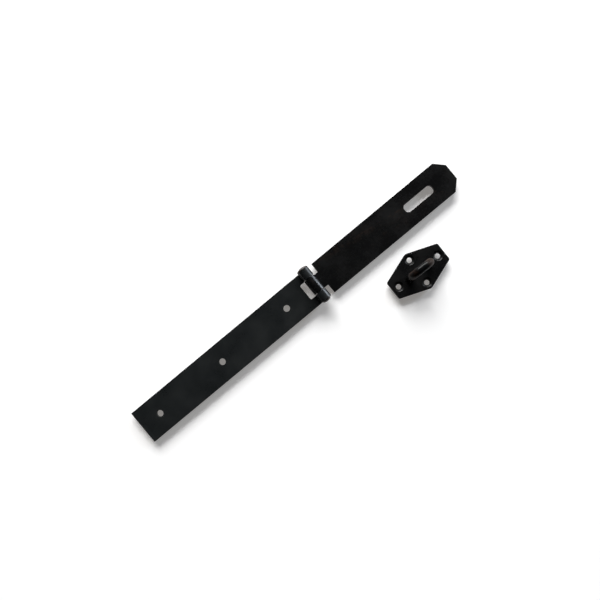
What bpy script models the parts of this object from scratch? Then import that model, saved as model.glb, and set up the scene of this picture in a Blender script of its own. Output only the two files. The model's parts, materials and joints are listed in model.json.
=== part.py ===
"""Hasp and staple for a door or gate: a hinged strap with a padlock slot, and a staple on its own plate.

Metres. +X runs along the hasp from the fixed leaf to the slotted tip, +Y across it, and +Z out of the face
that it is screwed to. The origin is the centre of the fixed leaf's back face. The staple's plate lies beside
the strap, as the two are laid out before fitting.
"""

from math import cos, pi, radians, sin

import bmesh
import bpy
from mathutils import Matrix, Vector

MM = 0.001

# Flat bar that both leaves are cut from.
BAR_WIDTH = 38 * MM
BAR_THICKNESS = 3 * MM

# Fixed leaf, from its square end to the pin's axis.
LEAF_LENGTH = 231 * MM
LEAF_HOLE_RADIUS = 3.5 * MM
LEAF_HOLES_BEHIND_PIN = (207.8 * MM, 124.1 * MM, 37.6 * MM)
WINDOW_WIDTH = 18.3 * MM
WINDOW_BEHIND_PIN = 12.3 * MM
WINDOW_CORNER = 1.5 * MM

# Hasp strap, from the pin's axis to its tip.
STRAP_LENGTH = 184 * MM
SHOULDER_FROM_PIN = 11.3 * MM
TIP_CHAMFER = 10 * MM
PADLOCK_SLOT_LENGTH = 37 * MM
PADLOCK_SLOT_WIDTH = 9.6 * MM
PADLOCK_SLOT_CORNER = 4 * MM
PADLOCK_SLOT_FROM_PIN = 140 * MM

# Barrel: each leaf's end is curled up and over the pin until it nearly meets its own face.
BORE_RADIUS = 3.5 * MM
BARREL_RADIUS = BORE_RADIUS + BAR_THICKNESS
CURL_ANGLE = radians(297)
CURL_STEPS = 28
MIDDLE_KNUCKLE_LENGTH = 17.1 * MM
PIN_X = LEAF_LENGTH / 2
PIN_Z = BARREL_RADIUS

# Hinge pin: a round head on one end, and a broader hammered head on the other.
PIN_RADIUS = 3.3 * MM
HEAD_GAP = 0.3 * MM
ROUND_HEAD_RADIUS = 4.8 * MM
ROUND_HEAD_HEIGHT = 2.2 * MM
HAMMERED_HEAD_RADIUS = 6.6 * MM
HAMMERED_HEAD_HEIGHT = 2.8 * MM
HEAD_CLEARANCE_BEHIND = 0.2 * MM
PIN_SIDES = 32

# Staple plate: six-sided, pointed in the middle of each long side.
PLATE_LENGTH = 66.8 * MM
PLATE_END_WIDTH = 20.8 * MM
PLATE_WIDTH = 45 * MM
PLATE_THICKNESS = 3 * MM
PLATE_CORNER = 1.5 * MM
PLATE_HOLE_RADIUS = 2.75 * MM
COUNTERSINK_RADIUS = 5.2 * MM
PLATE_HOLES_APART = 51.6 * MM
PLATE_HOLES_ACROSS = 29.4 * MM
PLATE_CENTRE = (PIN_X + 92 * MM, -57.4 * MM)
PLATE_TURN = radians(-1.3)

# Staple loop: round bar bent into a U that passes through the padlock slot.
LOOP_BAR_RADIUS = 4.2 * MM
LOOP_SPAN = 23.6 * MM
LOOP_HEIGHT = 30 * MM
LOOP_BEND_RADIUS = 9.5 * MM
LOOP_FIT_GAP = 0.3 * MM
LOOP_SIDES = 16
LOOP_BEND_STEPS = 6

CUT_MARGIN = 5 * MM


def clear_scene():
    for old in list(bpy.data.objects):
        bpy.data.objects.remove(old, do_unlink=True)


def enamelled_steel(name, color, roughness):
    material = bpy.data.materials.new(name)
    material.use_nodes = True
    shader = material.node_tree.nodes["Principled BSDF"]
    shader.inputs["Base Color"].default_value = (*color, 1)
    shader.inputs["Roughness"].default_value = roughness
    shader.inputs["Metallic"].default_value = 0.0
    material.diffuse_color = (*color, 1)
    return material


def add_piece(name, shape, material):
    """A finished sub-part from a bmesh in its own coordinates."""
    bmesh.ops.recalc_face_normals(shape, faces=shape.faces)
    mesh = bpy.data.meshes.new(name)
    shape.to_mesh(mesh)
    shape.free()
    mesh.materials.append(material)
    piece = bpy.data.objects.new(name, mesh)
    bpy.context.collection.objects.link(piece)
    mesh.shade_smooth()
    mesh.set_sharp_from_angle(angle=radians(35))
    return piece


def cut(piece, name, shape, location=(0, 0, 0)):
    """Takes the shape out of the piece, at a place in the piece's own coordinates."""
    bmesh.ops.recalc_face_normals(shape, faces=shape.faces)
    mesh = bpy.data.meshes.new(name)
    shape.to_mesh(mesh)
    shape.free()
    cutter = bpy.data.objects.new(name, mesh)
    bpy.context.collection.objects.link(cutter)
    cutter.parent = piece
    cutter.location = location
    cutter.display_type = "WIRE"
    cutter.hide_render = True
    boolean = piece.modifiers.new(name, "BOOLEAN")
    boolean.operation = "DIFFERENCE"
    boolean.solver = "EXACT"
    boolean.object = cutter


def block(size_x, size_y, size_z, corner=0.0, steps=4):
    """A box about the origin, with its upright edges rounded when a corner radius is given."""
    shape = bmesh.new()
    bmesh.ops.create_cube(shape, size=1, matrix=Matrix.Diagonal((size_x, size_y, size_z, 1)))
    if corner:
        upright = [e for e in shape.edges if abs(e.verts[0].co.z - e.verts[1].co.z) > size_z / 2]
        bmesh.ops.bevel(
            shape, geom=upright, offset=corner, offset_type="OFFSET", affect="EDGES",
            segments=steps, profile=0.5, material=-1,
        )
    return shape


def turned(profile, sides):
    """A solid of revolution about Z from (radius, z) points that start and end on the axis."""
    shape = bmesh.new()
    points = [shape.verts.new((radius, 0, z)) for radius, z in profile]
    edges = [shape.edges.new(pair) for pair in zip(points, points[1:])]
    bmesh.ops.spin(
        shape, geom=points + edges, cent=(0, 0, 0), axis=(0, 0, 1), angle=2 * pi,
        steps=sides, use_merge=True,
    )
    bmesh.ops.remove_doubles(shape, verts=shape.verts, dist=0.001 * MM)
    return shape


def faces_in(geometry):
    return [part for part in geometry if isinstance(part, bmesh.types.BMFace)]


def drop_inner_faces(shape, faces):
    """Removes the section that a sweep leaves inside the bar when it carries on from an end face."""
    inner = [f for f in faces if f.is_valid and all(len(e.link_faces) > 2 for e in f.edges)]
    bmesh.ops.delete(shape, geom=inner, context="FACES_ONLY")


def extend(shape, end, move):
    """Carries the bar straight on from an end face, and gives its new end face."""
    grown = bmesh.ops.extrude_face_region(shape, geom=end)["geom"]
    verts = [part for part in grown if isinstance(part, bmesh.types.BMVert)]
    bmesh.ops.translate(shape, verts=verts, vec=move)
    drop_inner_faces(shape, end)
    return faces_in(grown)


def bend(shape, end, centre, axis, angle, steps):
    """Carries the bar on round an axis from an end face, and gives its new end face."""
    swept = bmesh.ops.spin(shape, geom=end, cent=centre, axis=axis, angle=angle, steps=steps)
    drop_inner_faces(shape, end)
    return faces_in(swept["geom_last"])


def drill(radius, sides=28):
    reach = BAR_THICKNESS + CUT_MARGIN
    return turned([(0, -reach), (radius, -reach), (radius, reach), (0, reach)], sides)


def countersink_drill(radius, sink_radius, thickness, sides=28):
    """A through drill whose mouth opens at 45 degrees up to the plate's front face."""
    reach = thickness + CUT_MARGIN
    sink_start = thickness - (sink_radius - radius)
    mouth = sink_radius + (reach - thickness)
    return turned([(0, -reach), (radius, -reach), (radius, sink_start), (mouth, reach), (0, reach)], sides)


def curled_bar(length, direction):
    """Flat bar running from the pin's axis along +X or -X, with its other end curled up over the pin.

    Its own coordinates have the pin's axis on the Y axis.
    """
    shape = bmesh.new()
    half = BAR_WIDTH / 2
    corners = [(-half, 0), (half, 0), (half, BAR_THICKNESS), (-half, BAR_THICKNESS)]
    section = shape.faces.new([shape.verts.new((direction * length, y, z - PIN_Z)) for y, z in corners])
    under_pin = extend(shape, [section], (-direction * length, 0, 0))
    bend(shape, under_pin, (0, 0, 0), (0, direction, 0), CURL_ANGLE, CURL_STEPS)
    return shape


def make_fixed_leaf(material):
    leaf = add_piece("fixed_leaf", curled_bar(LEAF_LENGTH, -1), material)
    leaf.location = (PIN_X, 0, PIN_Z)
    reach = BARREL_RADIUS + CUT_MARGIN
    window = block(WINDOW_BEHIND_PIN + reach, WINDOW_WIDTH, 2 * reach, WINDOW_CORNER)
    cut(leaf, "cut_window", window, ((reach - WINDOW_BEHIND_PIN) / 2, 0, 0))
    for number, behind in enumerate(LEAF_HOLES_BEHIND_PIN):
        cut(leaf, f"cut_leaf_hole_{number}", drill(LEAF_HOLE_RADIUS), (-behind, 0, -PIN_Z))
    return leaf


def make_hasp_strap(material):
    shape = curled_bar(STRAP_LENGTH, 1)
    tip_edges = [
        e for e in shape.edges
        if all(abs(v.co.x - STRAP_LENGTH) < 0.01 * MM for v in e.verts)
        and abs(e.verts[0].co.z - e.verts[1].co.z) > BAR_THICKNESS / 2
    ]
    bmesh.ops.bevel(
        shape, geom=tip_edges, offset=TIP_CHAMFER, offset_type="OFFSET", affect="EDGES",
        segments=1, profile=0.5, material=-1,
    )
    strap = add_piece("hasp_strap", shape, material)
    strap.location = (PIN_X, 0, PIN_Z)
    reach = BARREL_RADIUS + CUT_MARGIN
    notch_width = (BAR_WIDTH - MIDDLE_KNUCKLE_LENGTH) / 2
    for name, side in (("left", 1), ("right", -1)):
        notch = block(SHOULDER_FROM_PIN + reach, notch_width + CUT_MARGIN, 2 * reach)
        across = side * (MIDDLE_KNUCKLE_LENGTH + notch_width + CUT_MARGIN) / 2
        cut(strap, f"cut_{name}_notch", notch, ((SHOULDER_FROM_PIN - reach) / 2, across, 0))
    slot = block(PADLOCK_SLOT_LENGTH, PADLOCK_SLOT_WIDTH, 2 * reach, PADLOCK_SLOT_CORNER, steps=6)
    cut(strap, "cut_padlock_slot", slot, (PADLOCK_SLOT_FROM_PIN, 0, -PIN_Z))
    return strap


def dome(radius, height, base, steps=7):
    """(radius, z) points of a rounded head that stands on z = base, from its rim to its crown."""
    return [
        (radius * cos(step / steps * pi / 2), base + height * sin(step / steps * pi / 2))
        for step in range(1, steps + 1)
    ]


def make_hinge_pin(material):
    """Turned about Z, then laid along Y. The hammered head is at +Y."""
    seat = BAR_WIDTH / 2 + HEAD_GAP
    rim = 0.6 * MM
    round_head = [(radius, -z) for radius, z in reversed(dome(ROUND_HEAD_RADIUS, ROUND_HEAD_HEIGHT, seat))]
    profile = round_head + [
        (ROUND_HEAD_RADIUS, -seat),
        (PIN_RADIUS, -seat),
        (PIN_RADIUS, seat),
        (HAMMERED_HEAD_RADIUS, seat),
        (HAMMERED_HEAD_RADIUS, seat + rim),
    ] + dome(HAMMERED_HEAD_RADIUS, HAMMERED_HEAD_HEIGHT - rim, seat + rim)
    shape = turned(profile, PIN_SIDES)
    bmesh.ops.transform(shape, matrix=Matrix.Rotation(-pi / 2, 4, "X"), verts=shape.verts)
    pin = add_piece("hinge_pin", shape, material)
    pin.location = (PIN_X, 0, PIN_Z)
    # The broad head is filed flat behind, so that the leaf still lies flat on the door.
    filing = block(4 * HAMMERED_HEAD_RADIUS, 2 * CUT_MARGIN, 2 * CUT_MARGIN)
    filed_to = HEAD_CLEARANCE_BEHIND - PIN_Z - CUT_MARGIN
    cut(pin, "cut_head_flat", filing, (0, BAR_WIDTH / 2 + CUT_MARGIN, filed_to))
    return pin


def make_staple_plate(material):
    """The six-sided outline stands on its back face. Its own X runs along the plate."""
    shape = bmesh.new()
    end, point = PLATE_END_WIDTH / 2, PLATE_WIDTH / 2
    outline = [
        (PLATE_LENGTH / 2, -end), (PLATE_LENGTH / 2, end), (0, point),
        (-PLATE_LENGTH / 2, end), (-PLATE_LENGTH / 2, -end), (0, -point),
    ]
    back = shape.faces.new([shape.verts.new((x, y, 0)) for x, y in outline])
    extend(shape, [back], (0, 0, PLATE_THICKNESS))
    upright = [e for e in shape.edges if abs(e.verts[0].co.z - e.verts[1].co.z) > PLATE_THICKNESS / 2]
    bmesh.ops.bevel(
        shape, geom=upright, offset=PLATE_CORNER, offset_type="OFFSET", affect="EDGES",
        segments=3, profile=0.5, material=-1,
    )
    plate = add_piece("staple_plate", shape, material)
    holes = [
        (PLATE_HOLES_APART / 2, 0), (-PLATE_HOLES_APART / 2, 0),
        (0, PLATE_HOLES_ACROSS / 2), (0, -PLATE_HOLES_ACROSS / 2),
    ]
    for number, (x, y) in enumerate(holes):
        tool = countersink_drill(PLATE_HOLE_RADIUS, COUNTERSINK_RADIUS, PLATE_THICKNESS)
        cut(plate, f"cut_plate_hole_{number}", tool, (x, y, 0))
    for name, x in (("near", -LOOP_SPAN / 2), ("far", LOOP_SPAN / 2)):
        cut(plate, f"cut_{name}_leg_hole", drill(LOOP_BAR_RADIUS + LOOP_FIT_GAP), (x, 0, 0))
    return plate


def make_staple_loop(material):
    """A round bar swept up one leg, over two bends and down the other, in the plate's own XZ plane."""
    shape = bmesh.new()
    leg_x = LOOP_SPAN / 2
    crown_z = LOOP_HEIGHT - LOOP_BAR_RADIUS
    bend_z = crown_z - LOOP_BEND_RADIUS
    ring = bmesh.ops.create_circle(
        shape, cap_ends=True, radius=LOOP_BAR_RADIUS, segments=LOOP_SIDES,
        matrix=Matrix.Translation((-leg_x, 0, LOOP_FIT_GAP)),
    )
    end = list(ring["verts"][0].link_faces)
    across, quarter = (0, 1, 0), pi / 2
    end = extend(shape, end, (0, 0, bend_z - LOOP_FIT_GAP))
    end = bend(shape, end, (LOOP_BEND_RADIUS - leg_x, 0, bend_z), across, quarter, LOOP_BEND_STEPS)
    end = extend(shape, end, (2 * (leg_x - LOOP_BEND_RADIUS), 0, 0))
    end = bend(shape, end, (leg_x - LOOP_BEND_RADIUS, 0, bend_z), across, quarter, LOOP_BEND_STEPS)
    extend(shape, end, (0, 0, LOOP_FIT_GAP - bend_z))
    return add_piece("staple_loop", shape, material)


def main():
    clear_scene()
    leaf_enamel = enamelled_steel("leaf_enamel", (0.011, 0.012, 0.013), 0.42)
    strap_enamel = enamelled_steel("strap_enamel", (0.0075, 0.008, 0.0085), 0.40)
    pin_enamel = enamelled_steel("pin_enamel", (0.012, 0.010, 0.009), 0.38)
    plate_enamel = enamelled_steel("plate_enamel", (0.0075, 0.008, 0.0085), 0.36)
    loop_enamel = enamelled_steel("loop_enamel", (0.010, 0.009, 0.009), 0.34)

    make_fixed_leaf(leaf_enamel)
    make_hasp_strap(strap_enamel)
    make_hinge_pin(pin_enamel)

    staple = bpy.data.objects.new("staple", None)
    bpy.context.collection.objects.link(staple)
    staple.location = Vector((*PLATE_CENTRE, 0))
    staple.rotation_euler.z = PLATE_TURN
    make_staple_plate(plate_enamel).parent = staple
    make_staple_loop(loop_enamel).parent = staple


main()
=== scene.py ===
import json
from math import cos, pi, radians, sin, tau

import bmesh
import bpy
from mathutils import Matrix, Vector


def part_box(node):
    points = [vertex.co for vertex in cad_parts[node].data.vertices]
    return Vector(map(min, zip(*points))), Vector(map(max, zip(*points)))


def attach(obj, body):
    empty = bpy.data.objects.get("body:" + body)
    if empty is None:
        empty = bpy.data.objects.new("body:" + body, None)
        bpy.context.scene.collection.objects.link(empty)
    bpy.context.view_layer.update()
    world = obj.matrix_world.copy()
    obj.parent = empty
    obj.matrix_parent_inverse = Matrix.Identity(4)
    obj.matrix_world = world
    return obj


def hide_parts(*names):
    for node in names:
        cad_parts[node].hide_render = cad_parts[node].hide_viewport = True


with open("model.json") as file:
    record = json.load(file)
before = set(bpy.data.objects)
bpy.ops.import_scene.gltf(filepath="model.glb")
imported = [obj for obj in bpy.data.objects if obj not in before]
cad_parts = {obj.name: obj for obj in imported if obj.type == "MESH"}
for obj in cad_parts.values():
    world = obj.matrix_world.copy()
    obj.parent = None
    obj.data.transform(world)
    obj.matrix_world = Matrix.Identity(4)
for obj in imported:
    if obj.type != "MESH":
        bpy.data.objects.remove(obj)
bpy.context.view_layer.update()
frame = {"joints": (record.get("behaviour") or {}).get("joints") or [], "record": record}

# A black enamelled hasp and staple, laid out flat. Metres: +X along the hasp, +Y across it, +Z up.
MM = 0.001

LEAF_LOW, LEAF_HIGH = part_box("fixed_leaf")
STRAP_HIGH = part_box("hasp_strap")[1]
PIN_LOW, PIN_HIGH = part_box("hinge_pin")
PLATE_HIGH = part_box("staple_plate")[1]
LOOP_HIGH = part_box("staple_loop")[1]

# The bar that both leaves are cut from, and the barrel that their ends are curled into.
PIN_AXIS = Vector(frame["joints"][0]["pos_m"])
BAR_HALF_WIDTH = LEAF_HIGH.y
BAR_THICKNESS = 3 * MM
EDGE_ROUNDING = 0.5 * MM
CURL_ANGLE = radians(297)
CURL_STEPS = 74
HOLE_STEPS = 56

# Fixed leaf.
LEAF_HOLE_RADIUS = 3.5 * MM
LEAF_HOLES_BEHIND_PIN = (207.8 * MM, 124.1 * MM, 37.6 * MM)
WINDOW_HALF_WIDTH = 9.3 * MM
WINDOW_BEHIND_PIN = 12.3 * MM
WINDOW_CORNER = 1.5 * MM

# Hasp strap.
MIDDLE_KNUCKLE_HALF = 8.4 * MM
SHOULDER_FROM_PIN = 11.3 * MM
TIP_CHAMFER = 10 * MM
PADLOCK_SLOT_FROM_PIN = 140 * MM
PADLOCK_SLOT_HALF = (18.5 * MM, 4.8 * MM)
PADLOCK_SLOT_CORNER = 4 * MM

# Hinge pin.
PIN_RADIUS = 3.4 * MM
HEAD_SEAT = BAR_HALF_WIDTH + 0.1 * MM
ROUND_HEAD_RADIUS = 4.8 * MM
HAMMERED_HEAD_RADIUS = 6.6 * MM
HAMMER_BLOWS = 14
BLOW_DEPTH = 0.12 * MM

# Staple.
STAPLE_CENTRE = Vector(frame["record"]["mounts"][1]["pos_m"])
STAPLE_TURN = radians(-1.3)
PLATE_HALF_LENGTH = 33.4 * MM
PLATE_HALF_END = 10.4 * MM
PLATE_HALF_WIDTH = 22.5 * MM
PLATE_END_CORNER = 2.2 * MM
PLATE_POINT_CORNER = 5.2 * MM
PLATE_THICKNESS = PLATE_HIGH.z
PLATE_HOLE_RADIUS = 2.75 * MM
COUNTERSINK_RADIUS = 5.2 * MM
PLATE_HOLES = ((25.8 * MM, 0), (-25.8 * MM, 0), (0, 14.7 * MM), (0, -14.7 * MM))
LOOP_BAR_RADIUS = 4.2 * MM
LOOP_LEG = 11.8 * MM
LOOP_BEND_RADIUS = 9.5 * MM
RIVET_RADIUS = 5.1 * MM

# Studio. The hasp is held a little above the floor, so that its shadow is soft and even all along.
FLOOR_BELOW = 3 * MM
FLOOR_RADIUS = 30
FLOOR_WHITE = 0.88
FLOOR_GLOW = 0.235


# ---------------------------------------------------------------- camera

SENSOR_WIDTH = 36
CAMERA_HEIGHT = 0.53
CAMERA_TURN = radians(-39.70)
VIEW_CENTRE = (94.1 * MM, -2.15 * MM)
VIEW_WIDTH = 0.621
LENS_SHIFT = (-0.042, 0.053)


def add_camera():
    data = bpy.data.cameras.new("camera")
    data.sensor_width = SENSOR_WIDTH
    data.lens = SENSOR_WIDTH * (CAMERA_HEIGHT - BAR_THICKNESS) / VIEW_WIDTH
    data.shift_x, data.shift_y = LENS_SHIFT
    right = Vector((cos(CAMERA_TURN), sin(CAMERA_TURN)))
    up = Vector((-right.y, right.x))
    place = Vector(VIEW_CENTRE) - (right * LENS_SHIFT[0] + up * LENS_SHIFT[1]) * VIEW_WIDTH
    camera = bpy.data.objects.new("camera", data)
    camera.location = (place.x, place.y, CAMERA_HEIGHT)
    camera.rotation_euler = (0, 0, CAMERA_TURN)
    bpy.context.collection.objects.link(camera)
    bpy.context.scene.camera = camera


# ---------------------------------------------------------------- outlines

def arc(centre, radius, start, end, steps):
    """Points on an arc, both ends included."""
    angles = [start + (end - start) * step / steps for step in range(steps + 1)]
    return [(centre[0] + radius * cos(a), centre[1] + radius * sin(a)) for a in angles]


def rounded_outline(corners, steps=6):
    """A closed outline through (x, y, radius) corners, with an arc wherever a radius is given."""
    points = []
    for index, (x, y, radius) in enumerate(corners):
        if not radius:
            points.append((x, y))
            continue
        here = Vector((x, y))
        before = (Vector(corners[index - 1][:2]) - here).normalized()
        after = (Vector(corners[(index + 1) % len(corners)][:2]) - here).normalized()
        half = before.angle(after) / 2
        reach = radius / sin(half) * cos(half)
        centre = here + (before + after).normalized() * radius / sin(half)
        first, last = here + before * reach - centre, here + after * reach - centre
        turn = first.angle_signed(last)
        for step in range(steps + 1):
            spoke = first.copy()
            spoke.rotate(Matrix.Rotation(-turn * step / steps, 2))
            points.append(tuple(centre + spoke))
    return points


def circle_outline(centre, radius, steps=HOLE_STEPS):
    return arc(centre, radius, 0, tau * (steps - 1) / steps, steps - 1)


# ---------------------------------------------------------------- mesh tools

def ring_of(shape, points, z):
    """A closed ring of vertices and edges through (x, y) points at a height."""
    verts = [shape.verts.new((x, y, z)) for x, y in points]
    return [shape.edges.new((verts[i - 1], verts[i])) for i in range(len(verts))]


def vertices_in(geometry):
    return [part for part in geometry if isinstance(part, bmesh.types.BMVert)]


def faces_in(geometry):
    return [part for part in geometry if isinstance(part, bmesh.types.BMFace)]


def drop_inner_faces(shape, faces):
    """Removes the section that a sweep leaves inside the bar when it carries on from an end face."""
    inner = [f for f in faces if f.is_valid and all(len(e.link_faces) > 2 for e in f.edges)]
    bmesh.ops.delete(shape, geom=inner, context="FACES_ONLY")


def extend(shape, end, move, scale=1.0):
    """Carries a bar straight on from an end face, and gives its new end face."""
    grown = bmesh.ops.extrude_face_region(shape, geom=end)["geom"]
    verts = vertices_in(grown)
    bmesh.ops.translate(shape, verts=verts, vec=move)
    if scale != 1.0:
        middle = sum((v.co for v in verts), Vector()) / len(verts)
        bmesh.ops.scale(shape, vec=(scale, scale, scale), space=Matrix.Translation(-middle), verts=verts)
    drop_inner_faces(shape, end)
    return faces_in(grown)


def bend(shape, end, centre, axis, angle, steps):
    """Carries a bar on round an axis from an end face, and gives its new end face."""
    swept = bmesh.ops.spin(shape, geom=end, cent=centre, axis=axis, angle=angle, steps=steps)
    drop_inner_faces(shape, end)
    return faces_in(swept["geom_last"])


def punched_bar(outline, holes):
    """Flat bar with holes through it, standing on z = 0."""
    shape = bmesh.new()
    edges = ring_of(shape, outline, 0)
    for hole in holes:
        edges += ring_of(shape, hole, 0)
    bmesh.ops.triangle_fill(shape, use_beauty=True, use_dissolve=False, edges=edges, normal=(0, 0, 1))
    extend(shape, list(shape.faces), (0, 0, BAR_THICKNESS))
    return shape


def curl_ends_over_pin(shape, direction):
    """Curls each end of the bar that stops under the pin up and over it."""
    ends = [f for f in shape.faces if all(abs(v.co.x - PIN_AXIS.x) < 0.01 * MM for v in f.verts)]
    for end in ends:
        bend(shape, [end], PIN_AXIS, (0, direction, 0), CURL_ANGLE, CURL_STEPS)


def round_sharp_edges(shape, width, segments=3, sharper_than=radians(40)):
    bmesh.ops.recalc_face_normals(shape, faces=shape.faces)
    sharp = [e for e in shape.edges if e.is_manifold and e.calc_face_angle(0) > sharper_than]
    bmesh.ops.bevel(
        shape, geom=sharp, offset=width, offset_type="OFFSET", affect="EDGES",
        segments=segments, profile=0.5, material=-1, loop_slide=False, clamp_overlap=True,
    )


def turned(profile, steps):
    """A solid of revolution about Z from (radius, z) points that start and end on the axis."""
    shape = bmesh.new()
    points = [shape.verts.new((radius, 0, z)) for radius, z in profile]
    edges = [shape.edges.new(pair) for pair in zip(points, points[1:])]
    bmesh.ops.spin(
        shape, geom=points + edges, cent=(0, 0, 0), axis=(0, 0, 1), angle=tau,
        steps=steps, use_merge=True,
    )
    bmesh.ops.remove_doubles(shape, verts=shape.verts, dist=0.001 * MM)
    return shape


def finish_piece(name, shape, material, body, node, smooth_to=radians(50)):
    """Makes the shape an object that stands for a CAD node and rides on its body."""
    bmesh.ops.recalc_face_normals(shape, faces=shape.faces)
    mesh = bpy.data.meshes.new(name)
    shape.to_mesh(mesh)
    shape.free()
    mesh.materials.append(material)
    mesh.shade_smooth()
    mesh.set_sharp_from_angle(angle=smooth_to)
    piece = bpy.data.objects.new(name, mesh)
    bpy.context.collection.objects.link(piece)
    even = piece.modifiers.new("even_shading", "WEIGHTED_NORMAL")
    even.keep_sharp = True
    even.weight = 80
    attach(piece, body)
    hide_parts(node)


# ---------------------------------------------------------------- materials

# How fine each texture of the enamel is, in patches to the metre.
CLOUDS_PER_METRE = 38
STAINS_PER_METRE = 75
DENTS_PER_METRE = 130
WEAR_PER_METRE = 160
GLOSS_SPOTS_PER_METRE = 420
PEEL_PER_METRE = 900
NIBS_PER_METRE = 1500

DUST_COLOUR = (0.05, 0.05, 0.055)
DUST_SHOWING = 0.25
BARE_BROWN_STEEL = (0.030, 0.014, 0.007)
EDGE_WEAR = 0.25


def new_material(name):
    material = bpy.data.materials.new(name)
    material.use_nodes = True
    tree = material.node_tree
    shader = tree.nodes["Principled BSDF"]
    place = tree.nodes.new("ShaderNodeTexCoord").outputs["Object"]
    return material, tree, shader, place


def noise_field(tree, place, scale, detail=3.0, roughness=0.55):
    field = tree.nodes.new("ShaderNodeTexNoise")
    field.inputs["Scale"].default_value = scale
    field.inputs["Detail"].default_value = detail
    field.inputs["Roughness"].default_value = roughness
    tree.links.new(place, field.inputs["Vector"])
    return field.outputs["Fac"]


def remap(tree, value, low, high, to_low=0.0, to_high=1.0):
    node = tree.nodes.new("ShaderNodeMapRange")
    for socket, number in (("From Min", low), ("From Max", high), ("To Min", to_low), ("To Max", to_high)):
        node.inputs[socket].default_value = number
    tree.links.new(value, node.inputs["Value"])
    return node.outputs["Result"]


def arithmetic(tree, operation, first, second=0.0):
    node = tree.nodes.new("ShaderNodeMath")
    node.operation = operation
    for socket, value in zip(node.inputs, (first, second)):
        if isinstance(value, (int, float)):
            socket.default_value = value
        else:
            tree.links.new(value, socket)
    return node.outputs[0]


def blend_colour(tree, factor, first, second):
    node = tree.nodes.new("ShaderNodeMix")
    node.data_type = "RGBA"
    if isinstance(factor, (int, float)):
        node.inputs["Factor"].default_value = factor
    else:
        tree.links.new(factor, node.inputs["Factor"])
    for socket, value in ((node.inputs[6], first), (node.inputs[7], second)):
        if isinstance(value, tuple):
            socket.default_value = (*value, 1)
        else:
            tree.links.new(value, socket)
    return node.outputs[2]


def bends_of_loop(tree, place):
    """One at the loop's two upper bends, where the painted brown reflection goes, and nothing elsewhere."""
    split = tree.nodes.new("ShaderNodeSeparateXYZ")
    tree.links.new(place, split.inputs["Vector"])
    from_centre = arithmetic(tree, "SUBTRACT", split.outputs["X"], STAPLE_CENTRE.x)
    along = arithmetic(tree, "ABSOLUTE", from_centre)
    outward = remap(tree, along, 5 * MM, 10 * MM)
    return arithmetic(tree, "MULTIPLY", outward, remap(tree, split.outputs["Z"], 16 * MM, 24 * MM))


def black_enamel(
    name, colour, bloom, roughness, shine=0.36, stain_and_reflection_amount=0.0, rust_and_reflection_brown=BARE_BROWN_STEEL, where=None,
):
    """Stoved black enamel: orange peel, faint clouds, dust nibs, bare brown steel where edges wear, and
    brown patches, which on the loop's bends are a painted reflection.
    """
    material, tree, shader, place = new_material(name)
    clouds = remap(tree, noise_field(tree, place, CLOUDS_PER_METRE, 4.0), 0.36, 0.66)
    fine = noise_field(tree, place, GLOSS_SPOTS_PER_METRE)
    tint = blend_colour(tree, clouds, colour, bloom)
    nibs = remap(tree, noise_field(tree, place, NIBS_PER_METRE, 1.0), 0.73, 0.80)
    tint = blend_colour(tree, arithmetic(tree, "MULTIPLY", nibs, DUST_SHOWING), tint, DUST_COLOUR)

    edge = tree.nodes.new("ShaderNodeNewGeometry").outputs["Pointiness"]
    on_edge = remap(tree, edge, 0.56, 0.66)
    patches = remap(tree, noise_field(tree, place, WEAR_PER_METRE, 5.0, 0.65), 0.48, 0.60)
    wear_and_reflection = arithmetic(tree, "MULTIPLY", on_edge, patches)
    wear_and_reflection = arithmetic(tree, "MULTIPLY", wear_and_reflection, EDGE_WEAR)
    # Brown patches from noise, laid over the edge wear: random on the pin, and on the loop's bends a painted
    # brown reflection.
    if stain_and_reflection_amount:
        stain_and_reflection_field = noise_field(tree, place, STAINS_PER_METRE, 5.0, 0.6)
        if where:
            stains_and_reflection = remap(tree, stain_and_reflection_field, 0.36, 0.56)
            stains_and_reflection = arithmetic(tree, "MULTIPLY", stains_and_reflection, where(tree, place))
        else:
            stains_and_reflection = remap(tree, stain_and_reflection_field, 0.50, 0.66)
        wear_and_reflection = arithmetic(tree, "MAXIMUM", wear_and_reflection, arithmetic(tree, "MULTIPLY", stains_and_reflection, stain_and_reflection_amount))
    tint = blend_colour(tree, wear_and_reflection, tint, rust_and_reflection_brown)
    tree.links.new(tint, shader.inputs["Base Color"])

    dullness = remap(tree, clouds, 0, 1, roughness - 0.05, roughness + 0.06)
    dullness = arithmetic(tree, "ADD", dullness, remap(tree, fine, 0.3, 0.7, -0.04, 0.04))
    dullness = arithmetic(tree, "ADD", dullness, arithmetic(tree, "MULTIPLY", wear_and_reflection, 0.15))
    tree.links.new(dullness, shader.inputs["Roughness"])
    shader.inputs["Specular IOR Level"].default_value = shine

    peel = tree.nodes.new("ShaderNodeBump")
    peel.inputs["Strength"].default_value = 0.35
    peel.inputs["Distance"].default_value = 0.03 * MM
    orange_peel = noise_field(tree, place, PEEL_PER_METRE, 2.0)
    height = arithmetic(tree, "ADD", orange_peel, arithmetic(tree, "MULTIPLY", nibs, 0.8))
    tree.links.new(height, peel.inputs["Height"])
    dents = tree.nodes.new("ShaderNodeBump")
    dents.inputs["Strength"].default_value = 0.25
    dents.inputs["Distance"].default_value = 0.15 * MM
    tree.links.new(noise_field(tree, place, DENTS_PER_METRE), dents.inputs["Height"])
    tree.links.new(peel.outputs["Normal"], dents.inputs["Normal"])
    tree.links.new(dents.outputs["Normal"], shader.inputs["Normal"])
    return material


# The leaf's black is painted lighter and bluer than the strap's, plate's and loop's, though the hasp has one
# enamel: that lift is a painted reflection.
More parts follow.
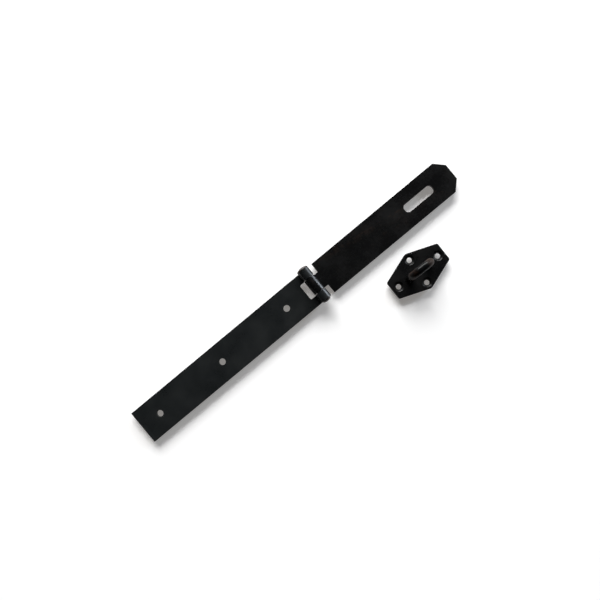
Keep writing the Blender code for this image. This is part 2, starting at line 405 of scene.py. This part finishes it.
LEAF_ENAMEL_PAINTED_REFLECTION = black_enamel(
    "leaf_enamel", colour=(0.0078, 0.0090, 0.0094), bloom=(0.0115, 0.0128, 0.0131), roughness=0.33,
)
STRAP_ENAMEL = black_enamel(
    "strap_enamel", colour=(0.0030, 0.0030, 0.0031), bloom=(0.0048, 0.0048, 0.0049), roughness=0.28,
    shine=0.34,
)
PIN_ENAMEL = black_enamel(
    "pin_enamel", colour=(0.0070, 0.0065, 0.0060), bloom=(0.0120, 0.0100, 0.0085), roughness=0.34,
    shine=0.40, stain_and_reflection_amount=0.60, rust_and_reflection_brown=(0.040, 0.019, 0.009),
)
PLATE_ENAMEL = black_enamel(
    "plate_enamel", colour=(0.0026, 0.0027, 0.0028), bloom=(0.0048, 0.0046, 0.0046), roughness=0.30,
    shine=0.34,
)
# The brown at the loop's upper bends is a painted reflection.
LOOP_ENAMEL = black_enamel(
    "loop_enamel", colour=(0.0030, 0.0031, 0.0033), bloom=(0.0050, 0.0050, 0.0052), roughness=0.27,
    shine=0.09, stain_and_reflection_amount=0.90, rust_and_reflection_brown=(0.019, 0.0085, 0.0040), where=bends_of_loop,
)


# ---------------------------------------------------------------- hasp

def make_fixed_leaf():
    """The long leaf: a square end, three punched holes, and two knuckles beside the window."""
    half, window_x = BAR_HALF_WIDTH, PIN_AXIS.x - WINDOW_BEHIND_PIN
    outline = rounded_outline([
        (LEAF_LOW.x, -half, 0.7 * MM),
        (PIN_AXIS.x, -half, 0),
        (PIN_AXIS.x, -WINDOW_HALF_WIDTH, 0),
        (window_x, -WINDOW_HALF_WIDTH, WINDOW_CORNER),
        (window_x, WINDOW_HALF_WIDTH, WINDOW_CORNER),
        (PIN_AXIS.x, WINDOW_HALF_WIDTH, 0),
        (PIN_AXIS.x, half, 0),
        (LEAF_LOW.x, half, 0.7 * MM),
    ])
    holes = [circle_outline((PIN_AXIS.x - behind, 0), LEAF_HOLE_RADIUS) for behind in LEAF_HOLES_BEHIND_PIN]
    shape = punched_bar(outline, holes)
    curl_ends_over_pin(shape, -1)
    round_sharp_edges(shape, EDGE_ROUNDING)
    finish_piece("fixed_leaf_enamelled", shape, LEAF_ENAMEL_PAINTED_REFLECTION, "fixed_leaf", "fixed_leaf")


def make_hasp_strap():
    """The swinging leaf: the middle knuckle, the padlock slot and the chamfered tip."""
    half, tip = BAR_HALF_WIDTH, STRAP_HIGH.x
    shoulder = PIN_AXIS.x + SHOULDER_FROM_PIN
    one_side = [
        (PIN_AXIS.x, -MIDDLE_KNUCKLE_HALF, 0),
        (shoulder, -MIDDLE_KNUCKLE_HALF, 0.8 * MM),
        (shoulder, -half, 0.5 * MM),
        (tip - TIP_CHAMFER, -half, 0.6 * MM),
        (tip, TIP_CHAMFER - half, 0.6 * MM),
    ]
    outline = rounded_outline(one_side + [(x, -y, radius) for x, y, radius in reversed(one_side)])
    slot_x, (slot_long, slot_wide) = PIN_AXIS.x + PADLOCK_SLOT_FROM_PIN, PADLOCK_SLOT_HALF
    slot = rounded_outline([
        (slot_x + along * slot_long, across * slot_wide, PADLOCK_SLOT_CORNER)
        for along, across in ((-1, -1), (1, -1), (1, 1), (-1, 1))
    ], steps=12)
    shape = punched_bar(outline, [slot])
    curl_ends_over_pin(shape, 1)
    round_sharp_edges(shape, EDGE_ROUNDING)
    finish_piece("hasp_strap_enamelled", shape, STRAP_ENAMEL, "hasp_strap", "hasp_strap")


def dome(radius, seat, height, steps=12):
    """(radius, z) points of a rounded head, from its rim to its crown."""
    return [
        (radius * cos(step / steps * pi / 2), seat + height * sin(step / steps * pi / 2))
        for step in range(steps + 1)
    ]


def strike(shape, blows, depth):
    """Flattens facets into the head where the hammer fell, working round and out from the crown."""
    for blow in range(blows):
        turn, tilt = blow * 2.4, radians(8 + 46 * blow / blows)
        face = Vector((sin(tilt) * cos(turn), sin(tilt) * sin(turn), cos(tilt)))
        head = [v for v in shape.verts if v.co.z > HEAD_SEAT]
        furthest = max(v.co.dot(face) for v in head)
        for v in head:
            v.co -= face * max(0, v.co.dot(face) - (furthest - depth))


def make_hinge_pin():
    """Turned about Z and laid along Y. The round head is at -Y and the hammered head at +Y."""
    rim = 0.5 * MM
    round_head = [(r, -z) for r, z in reversed(dome(ROUND_HEAD_RADIUS, HEAD_SEAT, -PIN_LOW.y - HEAD_SEAT))]
    hammered = dome(HAMMERED_HEAD_RADIUS, HEAD_SEAT + rim, PIN_HIGH.y - HEAD_SEAT - rim)
    shape = turned(
        round_head + [(PIN_RADIUS, -HEAD_SEAT), (PIN_RADIUS, HEAD_SEAT)]
        + [(HAMMERED_HEAD_RADIUS - 0.2 * MM, HEAD_SEAT)] + hammered, 72,
    )
    strike(shape, HAMMER_BLOWS, BLOW_DEPTH)
    bmesh.ops.transform(
        shape, matrix=Matrix.Translation(PIN_AXIS) @ Matrix.Rotation(-pi / 2, 4, "X"), verts=shape.verts,
    )
    # The broad head is filed flat behind, so that the leaf still lies flat.
    filed = bmesh.ops.bisect_plane(
        shape, geom=list(shape.verts) + list(shape.edges) + list(shape.faces),
        plane_co=(0, 0, PIN_LOW.z), plane_no=(0, 0, -1), clear_outer=True,
    )
    rim_edges = [part for part in filed["geom_cut"] if isinstance(part, bmesh.types.BMEdge)]
    bmesh.ops.edgeloop_fill(shape, edges=rim_edges)
    finish_piece("hinge_pin_enamelled", shape, PIN_ENAMEL, "fixed_leaf", "hinge_pin")


# ---------------------------------------------------------------- staple

def skirt(shape, contour, profile):
    """Walls through (inset, z) steps of a contour. Gives the edges of the first and last rings."""
    rings = [ring_of(shape, contour(inset), z) for inset, z in profile]
    for lower, upper in zip(rings, rings[1:]):
        bmesh.ops.bridge_loops(shape, edges=lower + upper)
    return rings[0], rings[-1]


def rounded_rim(thickness, below, above, steps=4):
    """(inset, z) steps up an outside edge, with a small radius below and a larger one above."""
    quarter = [step / steps * pi / 2 for step in range(steps + 1)]
    lower = [(below * (1 - sin(a)), below * (1 - cos(a))) for a in quarter]
    upper = [(above * (1 - cos(a)), thickness - above * (1 - sin(a))) for a in quarter]
    return lower + upper


def make_staple_plate():
    """The six-sided plate, with countersunk screw holes, and leg holes that are countersunk behind."""
    shape = bmesh.new()
    bottom, top = [], []

    def outline(inset):
        length = PLATE_HALF_LENGTH - inset
        end = PLATE_HALF_END - inset * 0.62
        width = PLATE_HALF_WIDTH - inset * 1.07
        corner, point = PLATE_END_CORNER - inset, PLATE_POINT_CORNER - inset
        return rounded_outline([
            (length, -end, corner), (length, end, corner), (0, width, point),
            (-length, end, corner), (-length, -end, corner), (0, -width, point),
        ])

    walls = [(outline, rounded_rim(PLATE_THICKNESS, 0.3 * MM, 0.55 * MM))]
    sink_depth = COUNTERSINK_RADIUS - PLATE_HOLE_RADIUS
    lip = 0.25 * MM
    screw_hole = [
        (0.2 * MM, 0), (0, 0.2 * MM), (0, PLATE_THICKNESS - sink_depth - 0.1 * MM),
        (0.15 * MM, PLATE_THICKNESS - sink_depth + 0.1 * MM),
        (sink_depth - lip, PLATE_THICKNESS - lip), (sink_depth - 0.05 * MM, PLATE_THICKNESS - 0.06 * MM),
        (sink_depth + 0.15 * MM, PLATE_THICKNESS),
    ]
    for x, y in PLATE_HOLES:
        walls.append((lambda grow, x=x, y=y: circle_outline((x, y), PLATE_HOLE_RADIUS + grow), screw_hole))
    leg_hole_radius = LOOP_BAR_RADIUS + 0.05 * MM
    leg_hole = [
        (RIVET_RADIUS - LOOP_BAR_RADIUS, 0), (0, 0.9 * MM), (0, PLATE_THICKNESS - 0.25 * MM),
        (0.07 * MM, PLATE_THICKNESS - 0.07 * MM), (0.25 * MM, PLATE_THICKNESS),
    ]
    for x in (-LOOP_LEG, LOOP_LEG):
        walls.append((lambda grow, x=x: circle_outline((x, 0), leg_hole_radius + grow), leg_hole))
    for contour, profile in walls:
        first, last = skirt(shape, contour, profile)
        bottom += first
        top += last
    for edges, up in ((bottom, -1), (top, 1)):
        bmesh.ops.triangle_fill(shape, use_beauty=True, use_dissolve=False, edges=edges, normal=(0, 0, up))
    place_staple(shape)
    finish_piece(
        "staple_plate_enamelled", shape, PLATE_ENAMEL, "fixed_leaf", "staple_plate",
        smooth_to=radians(35),
    )


def place_staple(shape):
    """Moves a shape from the plate's own coordinates to where the staple lies."""
    move = Matrix.Translation(STAPLE_CENTRE) @ Matrix.Rotation(STAPLE_TURN, 4, "Z")
    bmesh.ops.transform(shape, matrix=move, verts=shape.verts)


def make_staple_loop():
    """Round bar from one riveted end, up, over two bends and down to the other."""
    shape = bmesh.new()
    rivet_z, neck_z = 0.12 * MM, 1.0 * MM
    bend_z = LOOP_HIGH.z - LOOP_BAR_RADIUS - LOOP_BEND_RADIUS
    bmesh.ops.create_circle(
        shape, cap_ends=True, radius=RIVET_RADIUS - 0.1 * MM, segments=56,
        matrix=Matrix.Translation((-LOOP_LEG, 0, rivet_z)),
    )
    flare = LOOP_BAR_RADIUS / (RIVET_RADIUS - 0.1 * MM)
    across, quarter = (0, 1, 0), pi / 2
    end = list(shape.faces)
    end = extend(shape, end, (0, 0, neck_z - rivet_z), flare)
    end = extend(shape, end, (0, 0, bend_z - neck_z))
    end = bend(shape, end, (LOOP_BEND_RADIUS - LOOP_LEG, 0, bend_z), across, quarter, 28)
    end = extend(shape, end, (2 * (LOOP_LEG - LOOP_BEND_RADIUS), 0, 0))
    end = bend(shape, end, (LOOP_LEG - LOOP_BEND_RADIUS, 0, bend_z), across, quarter, 28)
    end = extend(shape, end, (0, 0, neck_z - bend_z))
    extend(shape, end, (0, 0, rivet_z - neck_z), 1 / flare)
    place_staple(shape)
    finish_piece("staple_loop_enamelled", shape, LOOP_ENAMEL, "fixed_leaf", "staple_loop")


# ---------------------------------------------------------------- studio

def add_floor():
    """A plain white floor. A little light of its own lifts it to white, and its shadows stay."""
    material = bpy.data.materials.new("white_floor")
    material.use_nodes = True
    tree = material.node_tree
    shader = tree.nodes["Principled BSDF"]
    shader.inputs["Base Color"].default_value = (FLOOR_WHITE, FLOOR_WHITE, FLOOR_WHITE, 1)
    shader.inputs["Roughness"].default_value = 0.9
    shader.inputs["Specular IOR Level"].default_value = 0.1
    rays = tree.nodes.new("ShaderNodeLightPath").outputs
    seen = arithmetic(tree, "MAXIMUM", rays["Is Camera Ray"], rays["Is Glossy Ray"])
    seen = arithmetic(tree, "MAXIMUM", seen, rays["Is Transmission Ray"])
    glow = arithmetic(tree, "MULTIPLY", seen, FLOOR_GLOW)
    shader.inputs["Emission Color"].default_value = (1, 0.96, 0.92, 1)
    tree.links.new(glow, shader.inputs["Emission Strength"])
    mesh = bpy.data.meshes.new("floor")
    shape = bmesh.new()
    bmesh.ops.create_circle(shape, cap_ends=True, radius=FLOOR_RADIUS, segments=96)
    shape.to_mesh(mesh)
    shape.free()
    mesh.materials.append(material)
    floor = bpy.data.objects.new("floor", mesh)
    floor.location.z = -FLOOR_BELOW
    bpy.context.collection.objects.link(floor)


def add_lamp(name, towards, elevation, distance, size, watts, colour=(1, 1, 1)):
    """A rectangular soft lamp that faces the hasp from a compass direction given as (x, y)."""
    data = bpy.data.lights.new(name, "AREA")
    data.shape = "RECTANGLE"
    data.size, data.size_y = size
    data.energy = watts
    data.color = colour
    flat = Vector((towards[0], towards[1], 0)).normalized() * cos(elevation)
    aim = Vector((*VIEW_CENTRE, 0))
    lamp = bpy.data.objects.new(name, data)
    lamp.location = aim + (flat + Vector((0, 0, sin(elevation)))) * distance
    lamp.rotation_euler = (aim - lamp.location).to_track_quat("-Z", "Y").to_euler()
    bpy.context.collection.objects.link(lamp)


def add_world():
    """Pale walls all round and a dim ceiling, so that flat black faces stay black from above."""
    world = bpy.data.worlds.new("studio")
    bpy.context.scene.world = world
    world.use_nodes = True
    tree = world.node_tree
    place = tree.nodes.new("ShaderNodeTexCoord").outputs["Generated"]
    split = tree.nodes.new("ShaderNodeSeparateXYZ")
    tree.links.new(place, split.inputs["Vector"])
    ceiling = remap(tree, split.outputs["Z"], 0.05, 0.50, 1.0, 0.10)
    facing = tree.nodes.new("ShaderNodeVectorMath")
    facing.operation = "DOT_PRODUCT"
    facing.inputs[1].default_value = (0.60, 0.80, 0)
    tree.links.new(place, facing.inputs[0])
    wall = remap(tree, facing.outputs["Value"], -0.8, 0.8, 0.02, 0.22)
    light = arithmetic(tree, "MULTIPLY", ceiling, wall)
    tree.links.new(light, tree.nodes["Background"].inputs["Strength"])
    tree.nodes["Background"].inputs["Color"].default_value = (1, 1, 1, 1)


def add_lamps():
    add_lamp("key", towards=(0.48, 0.88), elevation=radians(25), distance=6.0, size=(5.4, 2.9), watts=890)
    add_lamp(
        "side", towards=(1.0, 0.0), elevation=radians(13), distance=2.4, size=(0.45, 1.0), watts=30,
        colour=(0.82, 0.90, 1.0),
    )


bpy.context.scene.view_settings.view_transform = "Standard"
add_camera()
add_floor()
add_world()
add_lamps()
make_fixed_leaf()
make_hasp_strap()
make_hinge_pin()
make_staple_plate()
make_staple_loop()
